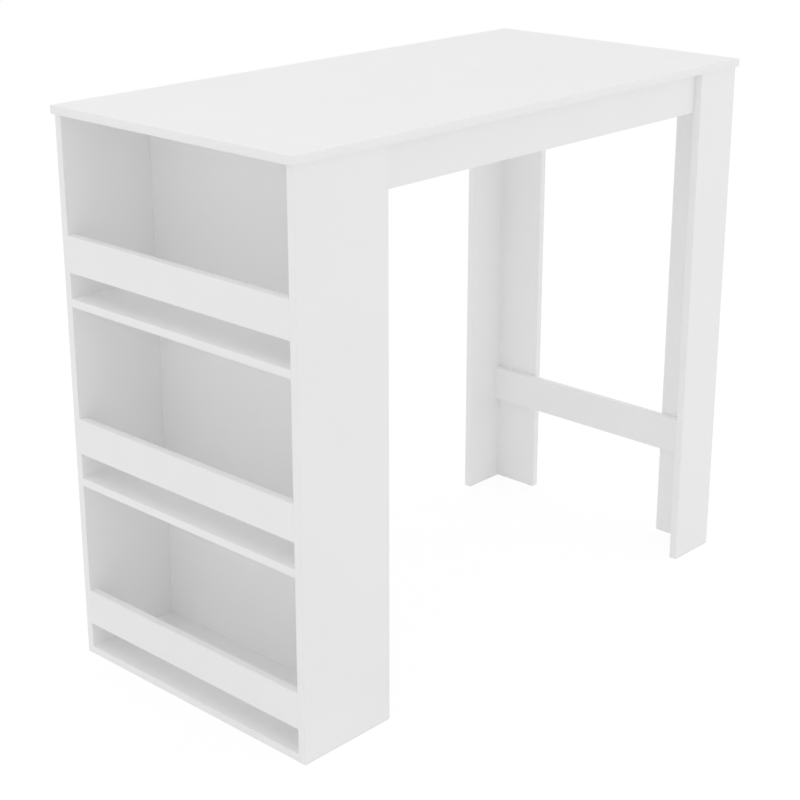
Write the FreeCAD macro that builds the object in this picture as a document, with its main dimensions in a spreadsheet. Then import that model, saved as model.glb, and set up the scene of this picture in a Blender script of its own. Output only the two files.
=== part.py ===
import FreeCAD, Part
import os
import Sketcher

# Bar table with an open shelf end, in millimetres.
# The origin is on the floor under the middle of the tabletop. X runs along the table, with the
# shelf unit at -X and the two legs at +X. Y runs across it, with the front at -Y. Z is up.

# Driving sizes: name, millimetres, what it measures
SIZES = (
    ("top_length", 1200.0, "tabletop along X, with its edge bands"),
    ("top_width", 590.0, "tabletop along Y, with its edge bands"),
    ("top_thickness", 15.0, "tabletop"),
    ("table_height", 1030.0, "floor to the upper face of the tabletop"),
    ("top_overhang", 5.0, "tabletop past the frame, all round"),
    ("board_thickness", 15.0, "every board under the tabletop"),
    ("band_thickness", 0.8, "edge band"),
    ("unit_depth", 205.0, "shelf unit along X"),
    ("rail_height", 67.0, "retaining rail"),
    ("rail_gap", 47.0, "slot between a shelf and its rail"),
    ("apron_height", 77.0, "aprons and end rail"),
    ("leg_face_width", 115.0, "leg board on the long side"),
    ("leg_side_width", 104.0, "leg board that butts behind it"),
    ("stretcher_height", 74.0, "foot stretcher"),
    ("stretcher_lift", 194.0, "floor to foot stretcher"),
    ("dowel_diameter", 8.0, "wooden dowel"),
    ("dowel_length", 30.0, "wooden dowel"),
    ("dowel_face_depth", 10.0, "dowel inside the board that is drilled in its face"),
    ("drill_clearance", 0.2, "bore diameter over the diameter of what sits in it"),
    ("drill_end_gap", 0.5, "space past the end of what sits in a bore"),
    ("cam_diameter", 15.0, "bore for a cam, which fills it but for the clearance"),
    ("cam_floor", 1.0, "cam below the hollow for the bolt head"),
    ("cam_setback", 34.0, "joint to cam axis"),
    ("cam_cross_length", 9.0, "driver cross in the cam"),
    ("cam_cross_width", 1.6, "driver cross in the cam"),
    ("cam_cross_depth", 2.0, "driver cross in the cam"),
    ("bolt_thread_diameter", 6.0, "cam bolt"),
    ("bolt_thread_length", 10.0, "cam bolt"),
    ("bolt_shank_diameter", 7.0, "cam bolt"),
    ("bolt_neck_diameter", 4.0, "cam bolt"),
    ("bolt_head_diameter", 6.4, "cam bolt"),
    ("bolt_head_length", 3.6, "cam bolt"),
    ("bolt_play", 0.6, "hollow in the cam over the bolt's head or neck"),
    ("cover_diameter", 17.0, "cover over a cam or a screw"),
    ("cover_thickness", 0.8, "cover over a cam or a screw"),
    ("screw_diameter", 4.0, "screw shank"),
    ("screw_bite", 10.5, "screw past the board that its head is in"),
    ("screw_head_diameter", 7.5, "screw head"),
    ("screw_head_height", 2.5, "screw head, sunk flush"),
    ("fitting_spacing", 32.0, "between two fittings at the end of a rail or apron"),
    ("shelf_fitting_spacing", 64.0, "between cam and dowel at the end of a shelf"),
    ("screw_spacing", 36.0, "between the two screws at a leg"),
    ("screw_inset", 29.0, "screws to the free edge of the leg's side board"),
)

SHELF_NAMES = ("bottom", "middle", "upper")
SIDES = {"front": "-", "rear": "+"}

# Few sides keep the dozens of fittings and bores light
DOWEL_SIDES = 12
BOLT_SIDES = 8
CAM_SIDES = 16

# Shares of the board or band that carries the feature
BEVEL_SHARE = 0.6
BACK_DOWEL_SHARES = (0.17, 0.83)
LEG_DOWEL_SHARES = (0.1, 0.45, 0.8)
APRON_DOWEL_SHARE = 0.25
APRON_CAM_SHARE = 0.75

# Planes of the frame, as expressions of the sheet
FLOOR = "0"
CENTRE = "0"
BOARD = "sizes.board_thickness"
HALF_BOARD = "(sizes.board_thickness / 2)"
HALF_LENGTH = "(sizes.top_length / 2 - sizes.top_overhang)"
HALF_WIDTH = "(sizes.top_width / 2 - sizes.top_overhang)"
UNDER_TOP = "(sizes.table_height - sizes.top_thickness)"
SHELF_END = f"(-{HALF_LENGTH})"
RAIL_INNER = f"({SHELF_END} + {BOARD})"
BACK_OUTER = f"({SHELF_END} + sizes.unit_depth)"
BACK_INNER = f"({BACK_OUTER} - {BOARD})"
LEG_END = HALF_LENGTH
LEG_INNER = f"({LEG_END} - {BOARD})"
STRETCHER_INNER = f"({LEG_INNER} - {BOARD})"
SIDE_INNER = f"({HALF_WIDTH} - {BOARD})"
APRON_INNER = f"({SIDE_INNER} - {BOARD})"
LEG_SIDE_EDGE = f"({SIDE_INNER} - sizes.leg_side_width)"
APRON_BOTTOM = f"({UNDER_TOP} - sizes.apron_height)"
STRETCHER_TOP = "(sizes.stretcher_lift + sizes.stretcher_height)"

VECTORS = {
    "+x": FreeCAD.Vector(1, 0, 0),
    "-x": FreeCAD.Vector(-1, 0, 0),
    "+y": FreeCAD.Vector(0, 1, 0),
    "-y": FreeCAD.Vector(0, -1, 0),
    "+z": FreeCAD.Vector(0, 0, 1),
    "-z": FreeCAD.Vector(0, 0, -1),
}
UP = VECTORS["+z"]
OPPOSITE = {"+x": "-x", "-x": "+x", "+y": "-y", "-y": "+y", "+z": "-z", "-z": "+z"}

doc = FreeCAD.newDocument("BarTable")
blanks = {}
cutters = {}
bands = {}
fittings = {}


def fill_sheet():
    sheet = doc.addObject("Spreadsheet::Sheet", "sizes")
    for row, (name, value, meaning) in enumerate(SIZES, start=1):
        sheet.set(f"A{row}", name)
        sheet.set(f"B{row}", str(value))
        sheet.set(f"C{row}", meaning)
        sheet.setAlias(f"B{row}", name)
    doc.recompute()


# Expressions


def middle(low, high):
    return f"(({low} + {high}) / 2)"


def share_of(low, high, share):
    return f"({low} + ({high} - {low}) * {share})"


def across(side, inner, outer):
    """The Y span between two distances from the middle, on the front or rear side."""
    if side == "front":
        return (f"(-{outer})", f"(-{inner})")
    return (inner, outer)


def out_to(side, distance):
    """The Y of a distance from the middle, on the front or rear side."""
    return f"({SIDES[side]}{distance})"


def shifted(place, direction, distance):
    """The place moved by an expression along a direction such as '+x'."""
    moved = list(place)
    axis = "xyz".index(direction[1])
    moved[axis] = f"({moved[axis]} {direction[0]} ({distance}))"
    return tuple(moved)


def roomy(diameter):
    """The bore for something of this diameter."""
    return f"{diameter} + sizes.drill_clearance"


# Plain shapes, cut and joined to make boards and fittings


def place_at(thing, place, rotation=FreeCAD.Rotation()):
    """Turns an object and binds its place to three expressions."""
    thing.Placement = FreeCAD.Placement(FreeCAD.Vector(), rotation)
    for axis, expression in zip("xyz", place):
        thing.setExpression(f"Placement.Base.{axis}", expression)


def along(direction):
    """The turn that lays an object's own Z axis along a direction."""
    return FreeCAD.Rotation(UP, VECTORS[direction])


def block(name, x, y, z):
    """A box between two expressions on each axis."""
    box = doc.addObject("Part::Box", name)
    for size, (low, high) in zip(("Length", "Width", "Height"), (x, y, z)):
        box.setExpression(size, f"{high} - {low}")
    place_at(box, (x[0], y[0], z[0]))
    return box


def bar(name, sides, diameter, start, end):
    """A many-sided bar along Z, from start to end."""
    prism = doc.addObject("Part::Prism", name)
    prism.Polygon = sides
    prism.setExpression("Circumradius", f"({diameter}) / 2")
    prism.setExpression("Height", f"{end} - {start}")
    prism.setExpression("Placement.Base.z", start)
    return prism


def fuse(name, pieces):
    joined = doc.addObject("Part::MultiFuse", name)
    joined.Shapes = pieces
    joined.Refine = True
    return joined


def cut(name, base, pieces):
    trimmed = doc.addObject("Part::Cut", name)
    trimmed.Base = base
    trimmed.Tool = fuse(name + "_cutters", pieces)
    return trimmed


# Edge bands, each a sketched profile drawn out along a board's edge


def new_sketch(body, name):
    """A sketch on the XY plane of the body's own origin."""
    sketch = body.newObject("Sketcher::SketchObject", name)
    plane = [feature for feature in body.Origin.OriginFeatures if feature.Role == "XY_Plane"][0]
    sketch.AttachmentSupport = (plane, [""])
    sketch.MapMode = "FlatFace"
    return sketch


def draw_outline(sketch, points):
    """A closed outline, each corner held by two dimensions from the sketch's origin."""
    count = len(points)
    step = FreeCAD.Rotation(UP, 360 / count)
    corners = [VECTORS["+x"]]
    for _ in points[1:]:
        corners.append(step.multVec(corners[-1]))
    for index, corner in enumerate(corners):
        sketch.addGeometry(Part.LineSegment(corner, corners[(index + 1) % count]), False)
    for index in range(count):
        sketch.addConstraint(Sketcher.Constraint("Coincident", index, 2, (index + 1) % count, 1))
    for index, point in enumerate(points):
        for kind, expression, value in zip(("DistanceX", "DistanceY"), point, corners[index]):
            held = sketch.addConstraint(Sketcher.Constraint(kind, -1, 1, index, 1, value))
            sketch.setExpression(f"Constraints[{held}]", expression)


def edge_band(name, direction, thin, core, full):
    """A strip on the edge that faces the direction, with its two outer corners bevelled."""
    edge = direction[1]
    run = [axis for axis in "xyz" if axis not in (edge, thin)][0]
    # On the tabletop, the strips along X cover the ends of those along Y.
    run_low, run_high = full[run] if edge == "y" else core[run]
    thin_low, thin_high = full[thin]
    width = f"({thin_high} - {thin_low})"
    outer = "sizes.band_thickness"
    bevel = f"{outer} * {BEVEL_SHARE}"
    body = doc.addObject("PartDesign::Body", name)
    sketch = new_sketch(body, name + "_profile")
    draw_outline(sketch, (
        (CENTRE, CENTRE),
        (width, CENTRE),
        (width, f"{outer} - {bevel}"),
        (f"{width} - {bevel}", outer),
        (bevel, outer),
        (CENTRE, f"{outer} - {bevel}"),
    ))
    strip = body.newObject("PartDesign::Pad", name + "_pad")
    strip.Profile = sketch
    strip.setExpression("Length", f"{run_high} - {run_low}")
    outward = VECTORS[direction]
    forward = VECTORS["+" + run]
    sideways = outward.cross(forward)
    place = {edge: core[edge]["-+".index(direction[0])], run: run_low, thin: thin_low}
    if sideways.dot(VECTORS["+" + thin]) < 0:
        place[thin] = thin_high
    turned = FreeCAD.Rotation(sideways, outward, forward, "ZYX")
    place_at(body, (place["x"], place["y"], place["z"]), turned)
    return body


# Boards


def shortened(span, direction):
    """The span without the edge band at its low or high end."""
    low, high = span
    if direction[0] == "-":
        return (f"({low} + sizes.band_thickness)", high)
    return (low, f"({high} - sizes.band_thickness)")


def board(name, thin, x, y, z, banded=()):
    """A board between two expressions on each axis, bands included, thin along one of them."""
    full = {"x": x, "y": y, "z": z}
    core = dict(full)
    for direction in banded:
        core[direction[1]] = shortened(core[direction[1]], direction)
    blanks[name] = block(name + "_blank", core["x"], core["y"], core["z"])
    cutters[name] = []
    if banded:
        bands[name + "_edge_band"] = [
            edge_band(f"{name}_band_{number}", direction, thin, core, full)
            for number, direction in enumerate(banded)
        ]


def shelf_floor(level):
    """The under side of a shelf. The shelves share the height under the tabletop evenly."""
    return f"({level} * {UNDER_TOP} / {len(SHELF_NAMES)})"


def rail_floor(level):
    return f"({shelf_floor(level)} + {BOARD} + sizes.rail_gap)"


def make_tabletop():
    x = ("(-sizes.top_length / 2)", "(sizes.top_length / 2)")
    y = ("(-sizes.top_width / 2)", "(sizes.top_width / 2)")
    board("tabletop", "z", x, y, (UNDER_TOP, "sizes.table_height"), ("-y", "+y", "-x", "+x"))


def make_shelf_unit():
    """Two side panels, a back panel, and three shelves, each with a rail above a slot."""
    inside = (f"(-{SIDE_INNER})", SIDE_INNER)
    for side in SIDES:
        y = across(side, SIDE_INNER, HALF_WIDTH)
        board(f"shelf_side_{side}", "y", (SHELF_END, BACK_OUTER), y, (FLOOR, UNDER_TOP), ("-x", "+x"))
    board("shelf_back_panel", "x", (BACK_INNER, BACK_OUTER), inside, (FLOOR, UNDER_TOP))
    for level, shelf in enumerate(SHELF_NAMES):
        z = (shelf_floor(level), f"({shelf_floor(level)} + {BOARD})")
        board(f"shelf_{shelf}", "z", (SHELF_END, BACK_INNER), inside, z, ("-x",))
        z = (rail_floor(level), f"({rail_floor(level)} + sizes.rail_height)")
        board(f"shelf_rail_{shelf}", "x", (SHELF_END, RAIL_INNER), inside, z, ("-z", "+z"))


def make_aprons():
    """Front and rear aprons and the end rail, which carry the tabletop between the ends."""
    z = (APRON_BOTTOM, UNDER_TOP)
    for side in SIDES:
        y = across(side, APRON_INNER, SIDE_INNER)
        board(f"apron_{side}", "y", (BACK_OUTER, LEG_INNER), y, z, ("-z",))
    y = (f"(-{APRON_INNER})", APRON_INNER)
    board("end_rail", "x", (STRETCHER_INNER, LEG_INNER), y, z, ("-z",))


def make_legs():
    """Two L-shaped legs of two boards each, and the foot stretcher between them."""
    z = (FLOOR, UNDER_TOP)
    for side in SIDES:
        x = (f"({LEG_END} - sizes.leg_face_width)", LEG_END)
        y = across(side, SIDE_INNER, HALF_WIDTH)
        board(f"leg_face_board_{side}", "y", x, y, z, ("-x", "+x"))
        y = across(side, LEG_SIDE_EDGE, SIDE_INNER)
        free_edge = OPPOSITE[SIDES[side] + "y"]
        board(f"leg_side_board_{side}", "x", (LEG_INNER, LEG_END), y, z, (free_edge,))
    y = (f"(-{SIDE_INNER})", SIDE_INNER)
    z = ("sizes.stretcher_lift", STRETCHER_TOP)
    board("foot_stretcher", "x", (STRETCHER_INNER, LEG_INNER), y, z, ("-z", "+z"))


# Fittings, each drawn once with its own Z axis along its length


def make_dowel():
    """The joint is at Z zero, with the short end below it in the board drilled in its face."""
    end = "(sizes.dowel_length - sizes.dowel_face_depth)"
    return bar("dowel", DOWEL_SIDES, "sizes.dowel_diameter", "(-sizes.dowel_face_depth)", end)


def make_cam_bolt():
    """Thread below the joint, then shank, neck and head, which ends up on the cam's axis."""
    thread_end = "(-sizes.bolt_thread_length)"
    shank_end = "(sizes.cam_setback - sizes.cam_diameter / 2)"
    head_start = "(sizes.cam_setback - sizes.bolt_head_length / 2)"
    head_end = "(sizes.cam_setback + sizes.bolt_head_length / 2)"
    return fuse("cam_bolt", [
        bar("bolt_thread", BOLT_SIDES, "sizes.bolt_thread_diameter", thread_end, "0"),
        bar("bolt_shank", BOLT_SIDES, "sizes.bolt_shank_diameter", "0", shank_end),
        bar("bolt_neck", BOLT_SIDES, "sizes.bolt_neck_diameter", shank_end, head_start),
        bar("bolt_head", BOLT_SIDES, "sizes.bolt_head_diameter", head_start, head_end),
    ])


def make_screw():
    """The head's flat face is at Z zero and the shank goes down."""
    head_start = "(-sizes.screw_head_height)"
    tip = f"(-{BOARD} - sizes.screw_bite)"
    return fuse("screw", [
        bar("screw_head", BOLT_SIDES, "sizes.screw_head_diameter", head_start, "0"),
        bar("screw_shank", BOLT_SIDES, "sizes.screw_diameter", tip, head_start),
    ])


HOLLOW_HALF_WIDTH = "((sizes.bolt_head_diameter + sizes.bolt_play) / 2)"
HOLLOW_HALF_LENGTH = "((sizes.bolt_head_length + sizes.bolt_play) / 2)"
SLOT_HALF_WIDTH = "((sizes.bolt_neck_diameter + sizes.bolt_play) / 2)"
CAM_HEIGHT = f"({HALF_BOARD} + {HOLLOW_HALF_WIDTH} + sizes.cam_floor)"


def both_ways(half, centre="0"):
    """The span of a half width each way from a centre."""
    return (f"({centre} - {half})", f"({centre} + {half})")


def make_cam():
    """The cam's flat face is at Z zero. The bolt comes in from +X, half a board below."""
    disc = bar("cam_disc", CAM_SIDES, "sizes.cam_diameter - sizes.drill_clearance",
               f"(-{CAM_HEIGHT})", "0")
    long_span = both_ways("sizes.cam_cross_length / 2")
    short_span = both_ways("sizes.cam_cross_width / 2")
    cross_depth = ("(-sizes.cam_cross_depth)", "0")
    bolt_axis = f"(-{HALF_BOARD})"
    return cut("cam", disc, [
        block("cam_cross_long", long_span, short_span, cross_depth),
        block("cam_cross_short", short_span, long_span, cross_depth),
        block("cam_hollow", both_ways(HOLLOW_HALF_LENGTH), both_ways(HOLLOW_HALF_WIDTH),
              both_ways(HOLLOW_HALF_WIDTH, bolt_axis)),
        block("cam_slot", ("0", "(sizes.cam_diameter / 2)"), both_ways(SLOT_HALF_WIDTH),
              both_ways(SLOT_HALF_WIDTH, bolt_axis)),
    ])


def make_cover():
    return bar("cover", CAM_SIDES, "sizes.cover_diameter", "0", "sizes.cover_thickness")


# Joints: each one drills its boards and sets its fittings from the same place


def drill(boards, sides, diameter, place, direction, start, end):
    """A bore along a direction, from start to end past the place, cut out of each board."""
    bore = bar(f"bore_{len(doc.Objects)}", sides, diameter, start, end)
    place_at(bore, shifted(place, direction, start), along(direction))
    for name in boards:
        cutters[name].append(bore)


def set_fitting(group, master, place, rotation):
    """Adds one more copy of a fitting to a group."""
    copies = fittings.setdefault(group, [])
    copy = doc.addObject("App::Link", f"{group}_{len(copies)}")
    copy.LinkedObject = masters[master]
    copy.LinkTransform = True
    place_at(copy, place, rotation)
    copies.append(copy)


def join_with_dowel(group, place, direction, face_board, end_board):
    """A dowel that points from one board's face into the other board's end."""
    start = "(-sizes.dowel_face_depth - sizes.drill_end_gap)"
    end = "(sizes.dowel_length - sizes.dowel_face_depth + sizes.drill_end_gap)"
    bore = roomy("sizes.dowel_diameter")
    drill((face_board, end_board), DOWEL_SIDES, bore, place, direction, start, end)
    set_fitting(group, "dowel", place, along(direction))


def join_with_cam(group, place, direction, bolt_board, cam_board, face):
    """A bolt from one board's face into the other's end, where a cam in its face pulls it tight."""
    bore = roomy("sizes.bolt_thread_diameter")
    thread_end = "(-sizes.bolt_thread_length - sizes.drill_end_gap)"
    drill([bolt_board], BOLT_SIDES, bore, place, direction, thread_end, "0")
    bore = roomy("sizes.bolt_shank_diameter")
    drill([cam_board], BOLT_SIDES, bore, place, direction, "0", "sizes.cam_setback")
    centre = shifted(shifted(place, direction, "sizes.cam_setback"), face, HALF_BOARD)
    depth = f"({CAM_HEIGHT} + sizes.drill_end_gap)"
    drill([cam_board], CAM_SIDES, "sizes.cam_diameter", centre, OPPOSITE[face], "0", depth)
    bolt_side = VECTORS[OPPOSITE[direction]]
    outward = VECTORS[face]
    turned = FreeCAD.Rotation(bolt_side, outward.cross(bolt_side), outward, "ZXY")
    set_fitting(group + "_cam_bolts", "cam_bolt", place, along(direction))
    set_fitting(group + "_cams", "cam", centre, turned)
    if group != "shelf":
        # The cams under the shelves have no covers.
        set_fitting("cam_covers", "cover", centre, turned)


def join_with_screw(group, place, face, head_board, far_board):
    """A screw with its head flush in one board's face and its tip in the board behind."""
    inward = OPPOSITE[face]
    bore = roomy("sizes.screw_head_diameter")
    drill([head_board], BOLT_SIDES, bore, place, inward, "0", "sizes.screw_head_height")
    bore = roomy("sizes.screw_diameter")
    tip = f"({BOARD} + sizes.screw_bite + sizes.drill_end_gap)"
    drill((head_board, far_board), BOLT_SIDES, bore, place, inward, "sizes.screw_head_height", tip)
    set_fitting(group + "_screws", "screw", place, along(face))


def fit_shelves(side):
    """A cam near the open end and a dowel behind it, at each end of each shelf."""
    panel = f"shelf_side_{side}"
    inward = OPPOSITE[SIDES[side] + "y"]
    for level, shelf in enumerate(SHELF_NAMES):
        name = f"shelf_{shelf}"
        z = f"({shelf_floor(level)} + {HALF_BOARD})"
        centre = (middle(SHELF_END, BACK_INNER), out_to(side, SIDE_INNER), z)
        cam_place = shifted(centre, "-x", "sizes.shelf_fitting_spacing / 2")
        join_with_cam("shelf", cam_place, inward, panel, name, "-z")
        dowel_place = shifted(centre, "+x", "sizes.shelf_fitting_spacing / 2")
        join_with_dowel("shelf_dowels", dowel_place, inward, panel, name)


def fit_rails(side):
    """Two dowels at each end of each rail."""
    inward = OPPOSITE[SIDES[side] + "y"]
    for level, shelf in enumerate(SHELF_NAMES):
        z = f"({rail_floor(level)} + sizes.rail_height / 2)"
        centre = (middle(SHELF_END, RAIL_INNER), out_to(side, SIDE_INNER), z)
        for way in ("-z", "+z"):
            place = shifted(centre, way, "sizes.fitting_spacing / 2")
            join_with_dowel("rail_dowels", place, inward, f"shelf_side_{side}", f"shelf_rail_{shelf}")


def fit_back_panel(side):
    inward = OPPOSITE[SIDES[side] + "y"]
    x = middle(BACK_INNER, BACK_OUTER)
    for share in BACK_DOWEL_SHARES:
        place = (x, out_to(side, SIDE_INNER), share_of(FLOOR, UNDER_TOP, share))
        join_with_dowel("back_panel_dowels", place, inward, f"shelf_side_{side}", "shelf_back_panel")


def fit_apron(side):
    """A cam above a dowel at each end, into the back panel and into the leg's side board."""
    apron = f"apron_{side}"
    inward = OPPOSITE[SIDES[side] + "y"]
    y = out_to(side, middle(APRON_INNER, SIDE_INNER))
    z = middle(APRON_BOTTOM, UNDER_TOP)
    ends = ((BACK_OUTER, "+x", "shelf_back_panel"), (LEG_INNER, "-x", f"leg_side_board_{side}"))
    for x, direction, carrier in ends:
        cam_place = shifted((x, y, z), "+z", "sizes.fitting_spacing / 2")
        join_with_cam("apron", cam_place, direction, carrier, apron, inward)
        dowel_place = shifted((x, y, z), "-z", "sizes.fitting_spacing / 2")
        join_with_dowel("apron_dowels", dowel_place, direction, carrier, apron)


def fit_tabletop(side):
    """Dowels into every upright and the apron, and a cam that pulls the top down on the apron."""
    in_face_board = out_to(side, middle(SIDE_INNER, HALF_WIDTH))
    in_apron = out_to(side, middle(APRON_INNER, SIDE_INNER))
    in_side_board = out_to(side, middle(LEG_SIDE_EDGE, SIDE_INNER))
    leg_face_middle = f"({LEG_END} - sizes.leg_face_width / 2)"
    apron_dowel = share_of(BACK_OUTER, LEG_INNER, APRON_DOWEL_SHARE)
    uprights = (
        (middle(SHELF_END, BACK_OUTER), in_face_board, f"shelf_side_{side}"),
        (apron_dowel, in_apron, f"apron_{side}"),
        (leg_face_middle, in_face_board, f"leg_face_board_{side}"),
        (middle(LEG_INNER, LEG_END), in_side_board, f"leg_side_board_{side}"),
    )
    for x, y, carrier in uprights:
        join_with_dowel("tabletop_dowels", (x, y, UNDER_TOP), "-z", "tabletop", carrier)
    cam_place = (share_of(BACK_OUTER, LEG_INNER, APRON_CAM_SHARE), in_apron, UNDER_TOP)
    inward = OPPOSITE[SIDES[side] + "y"]
    join_with_cam("tabletop", cam_place, "-z", "tabletop", f"apron_{side}", inward)


def fit_leg(side):
    """Dowels up the inner corner of the L."""
    inward = OPPOSITE[SIDES[side] + "y"]
    x = middle(LEG_INNER, LEG_END)
    for share in LEG_DOWEL_SHARES:
        place = (x, out_to(side, SIDE_INNER), share_of(FLOOR, UNDER_TOP, share))
        join_with_dowel("leg_dowels", place, inward, f"leg_face_board_{side}", f"leg_side_board_{side}")


def fit_cross_rails(side):
    """A dowel at the end of the stretcher and of the end rail, and two screws at the leg."""
    inward = OPPOSITE[SIDES[side] + "y"]
    x = middle(STRETCHER_INNER, LEG_INNER)
    stretcher_z = middle("sizes.stretcher_lift", STRETCHER_TOP)
    rail_z = middle(APRON_BOTTOM, UNDER_TOP)
    place = (x, out_to(side, SIDE_INNER), stretcher_z)
    join_with_dowel("stretcher_dowels", place, inward, f"leg_face_board_{side}", "foot_stretcher")
    place = (x, out_to(side, APRON_INNER), rail_z)
    join_with_dowel("end_rail_dowels", place, inward, f"apron_{side}", "end_rail")
    screws_y = out_to(side, f"({LEG_SIDE_EDGE} + sizes.screw_inset)")
    side_board = f"leg_side_board_{side}"
    for way in ("-z", "+z"):
        place = shifted((LEG_END, screws_y, stretcher_z), way, "sizes.screw_spacing / 2")
        join_with_screw("stretcher", place, "+x", side_board, "foot_stretcher")
        set_fitting("stretcher_screw_covers", "cover", place, along("+x"))
        place = shifted((STRETCHER_INNER, screws_y, rail_z), way, "sizes.screw_spacing / 2")
        join_with_screw("end_rail", place, "-x", "end_rail", side_board)


def fit_centre_line():
    """A dowel from the back panel into each shelf, and a cam between the panel and the top."""
    for level, shelf in enumerate(SHELF_NAMES):
        place = (BACK_INNER, CENTRE, f"({shelf_floor(level)} + {HALF_BOARD})")
        join_with_dowel("back_panel_dowels", place, "-x", "shelf_back_panel", f"shelf_{shelf}")
    place = (middle(BACK_INNER, BACK_OUTER), CENTRE, UNDER_TOP)
    join_with_cam("tabletop", place, "-z", "tabletop", "shelf_back_panel", "+x")


# Finished nodes


def finished_nodes():
    """Drilled boards, then the edge bands of each board and the copies of each fitting."""
    nodes = {name: cut(name, blank, cutters[name]) for name, blank in blanks.items()}
    for name, pieces in {**bands, **fittings}.items():
        group = doc.addObject("Part::Compound", name)
        group.Links = pieces
        nodes[name] = group
    for name, node in nodes.items():
        node.Label = name
    return nodes


def check(nodes):
    for thing in doc.Objects:
        if "Invalid" in thing.State or "Error" in thing.State:
            raise RuntimeError(f"{thing.Name} failed: {thing.State}")
    for name, node in nodes.items():
        if node.Shape.isNull() or not node.Shape.isValid() or not node.Shape.Solids:
            raise RuntimeError(f"{name} has no valid solid")


def export(nodes):
    os.makedirs("parts", exist_ok=True)
    for name, node in nodes.items():
        node.Shape.exportStep(f"parts/{name}.step")
        box = node.Shape.BoundBox
        extent = f"{box.XLength:.1f} x {box.YLength:.1f} x {box.ZLength:.1f}"
        print(f"{name}: {len(node.Shape.Solids)} solids, {extent}")
    print(len(nodes), "nodes")


fill_sheet()
make_tabletop()
make_shelf_unit()
make_aprons()
make_legs()
masters = {
    "dowel": make_dowel(),
    "cam_bolt": make_cam_bolt(),
    "cam": make_cam(),
    "cover": make_cover(),
    "screw": make_screw(),
}
for side in SIDES:
    fit_shelves(side)
    fit_rails(side)
    fit_back_panel(side)
    fit_apron(side)
    fit_tabletop(side)
    fit_leg(side)
    fit_cross_rails(side)
fit_centre_line()
nodes = finished_nodes()
doc.recompute()
check(nodes)
export(nodes)
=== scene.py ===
import math

import bmesh
import bpy
import numpy as np
from bpy.props import FloatProperty, FloatVectorProperty, IntProperty, PointerProperty
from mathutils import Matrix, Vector


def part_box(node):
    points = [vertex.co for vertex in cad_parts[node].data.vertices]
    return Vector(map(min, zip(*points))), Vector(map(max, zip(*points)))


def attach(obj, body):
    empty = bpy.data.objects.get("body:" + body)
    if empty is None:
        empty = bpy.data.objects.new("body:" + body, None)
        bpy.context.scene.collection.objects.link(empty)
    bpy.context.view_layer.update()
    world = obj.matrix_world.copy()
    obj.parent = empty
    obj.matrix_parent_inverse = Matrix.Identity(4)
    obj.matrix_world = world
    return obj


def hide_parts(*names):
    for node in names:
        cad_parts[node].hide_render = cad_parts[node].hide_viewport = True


bl_info = {
    "name": "Bar table",
    "version": (1, 0, 0),
    "blender": (4, 5, 0),
    "location": "3D View > Sidebar > Bar table",
    "description": "Gives the packed bar table its edge bands, fittings, finishes and studio",
    "category": "Object",
}

# The frame is metres, with the floor at Z zero, the shelf unit at -X and the front at -Y.
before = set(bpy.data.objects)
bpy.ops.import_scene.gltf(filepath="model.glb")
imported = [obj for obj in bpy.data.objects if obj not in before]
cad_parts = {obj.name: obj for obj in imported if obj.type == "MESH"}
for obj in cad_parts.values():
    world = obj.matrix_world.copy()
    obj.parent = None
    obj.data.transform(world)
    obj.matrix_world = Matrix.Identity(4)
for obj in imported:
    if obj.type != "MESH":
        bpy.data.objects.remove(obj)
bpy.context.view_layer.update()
MM = 0.001
AXES = (Vector((1, 0, 0)), Vector((0, 1, 0)), Vector((0, 0, 1)))

# Points nearer than this are one point, and flat faces nearer than this are one plane.
SAME_POINT = 0.002 * MM
SAME_PLANE = 0.01 * MM

# An edge is sharp where its faces turn by more than this.
SHARP_ANGLE = math.radians(35)

FLAT_BOARDS = (
    "tabletop", "shelf_bottom", "shelf_middle", "shelf_upper",
    "shelf_rail_bottom", "shelf_rail_middle", "shelf_rail_upper",
    "apron_front", "apron_rear", "end_rail", "foot_stretcher",
)
STANDING_BOARDS = (
    "shelf_side_front", "shelf_side_rear", "shelf_back_panel",
    "leg_face_board_front", "leg_face_board_rear", "leg_side_board_front", "leg_side_board_rear",
)
# Each group of cams and the bolts that they pull on
CAM_NODES = {
    "shelf_cams": "shelf_cam_bolts",
    "apron_cams": "apron_cam_bolts",
    "tabletop_cams": "tabletop_cam_bolts",
}
COVER_NODES = ("cam_covers", "stretcher_screw_covers")
SCREW_NODES = ("stretcher_screws", "end_rail_screws")
DOWEL_NODES = (
    "shelf_dowels", "rail_dowels", "back_panel_dowels", "apron_dowels",
    "tabletop_dowels", "leg_dowels", "stretcher_dowels", "end_rail_dowels",
)


# Settings


def length(name, description, default):
    return FloatProperty(
        name=name, description=description, default=default, min=0, precision=5, unit="LENGTH",
    )


def colour(name, description, default):
    return FloatVectorProperty(
        name=name, description=description, default=default, size=3, min=0, max=1, subtype="COLOR",
    )


def share(name, description, default):
    return FloatProperty(
        name=name, description=description, default=default, min=0, max=1, subtype="FACTOR",
    )


def power(name, description, default):
    return FloatProperty(name=name, description=description, default=default, min=0, unit="POWER")


def angle(name, description, degrees):
    return FloatProperty(
        name=name, description=description, default=math.radians(degrees), subtype="ANGLE",
    )


def count(name, description, default, least):
    return IntProperty(name=name, description=description, default=default, min=least)


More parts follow.
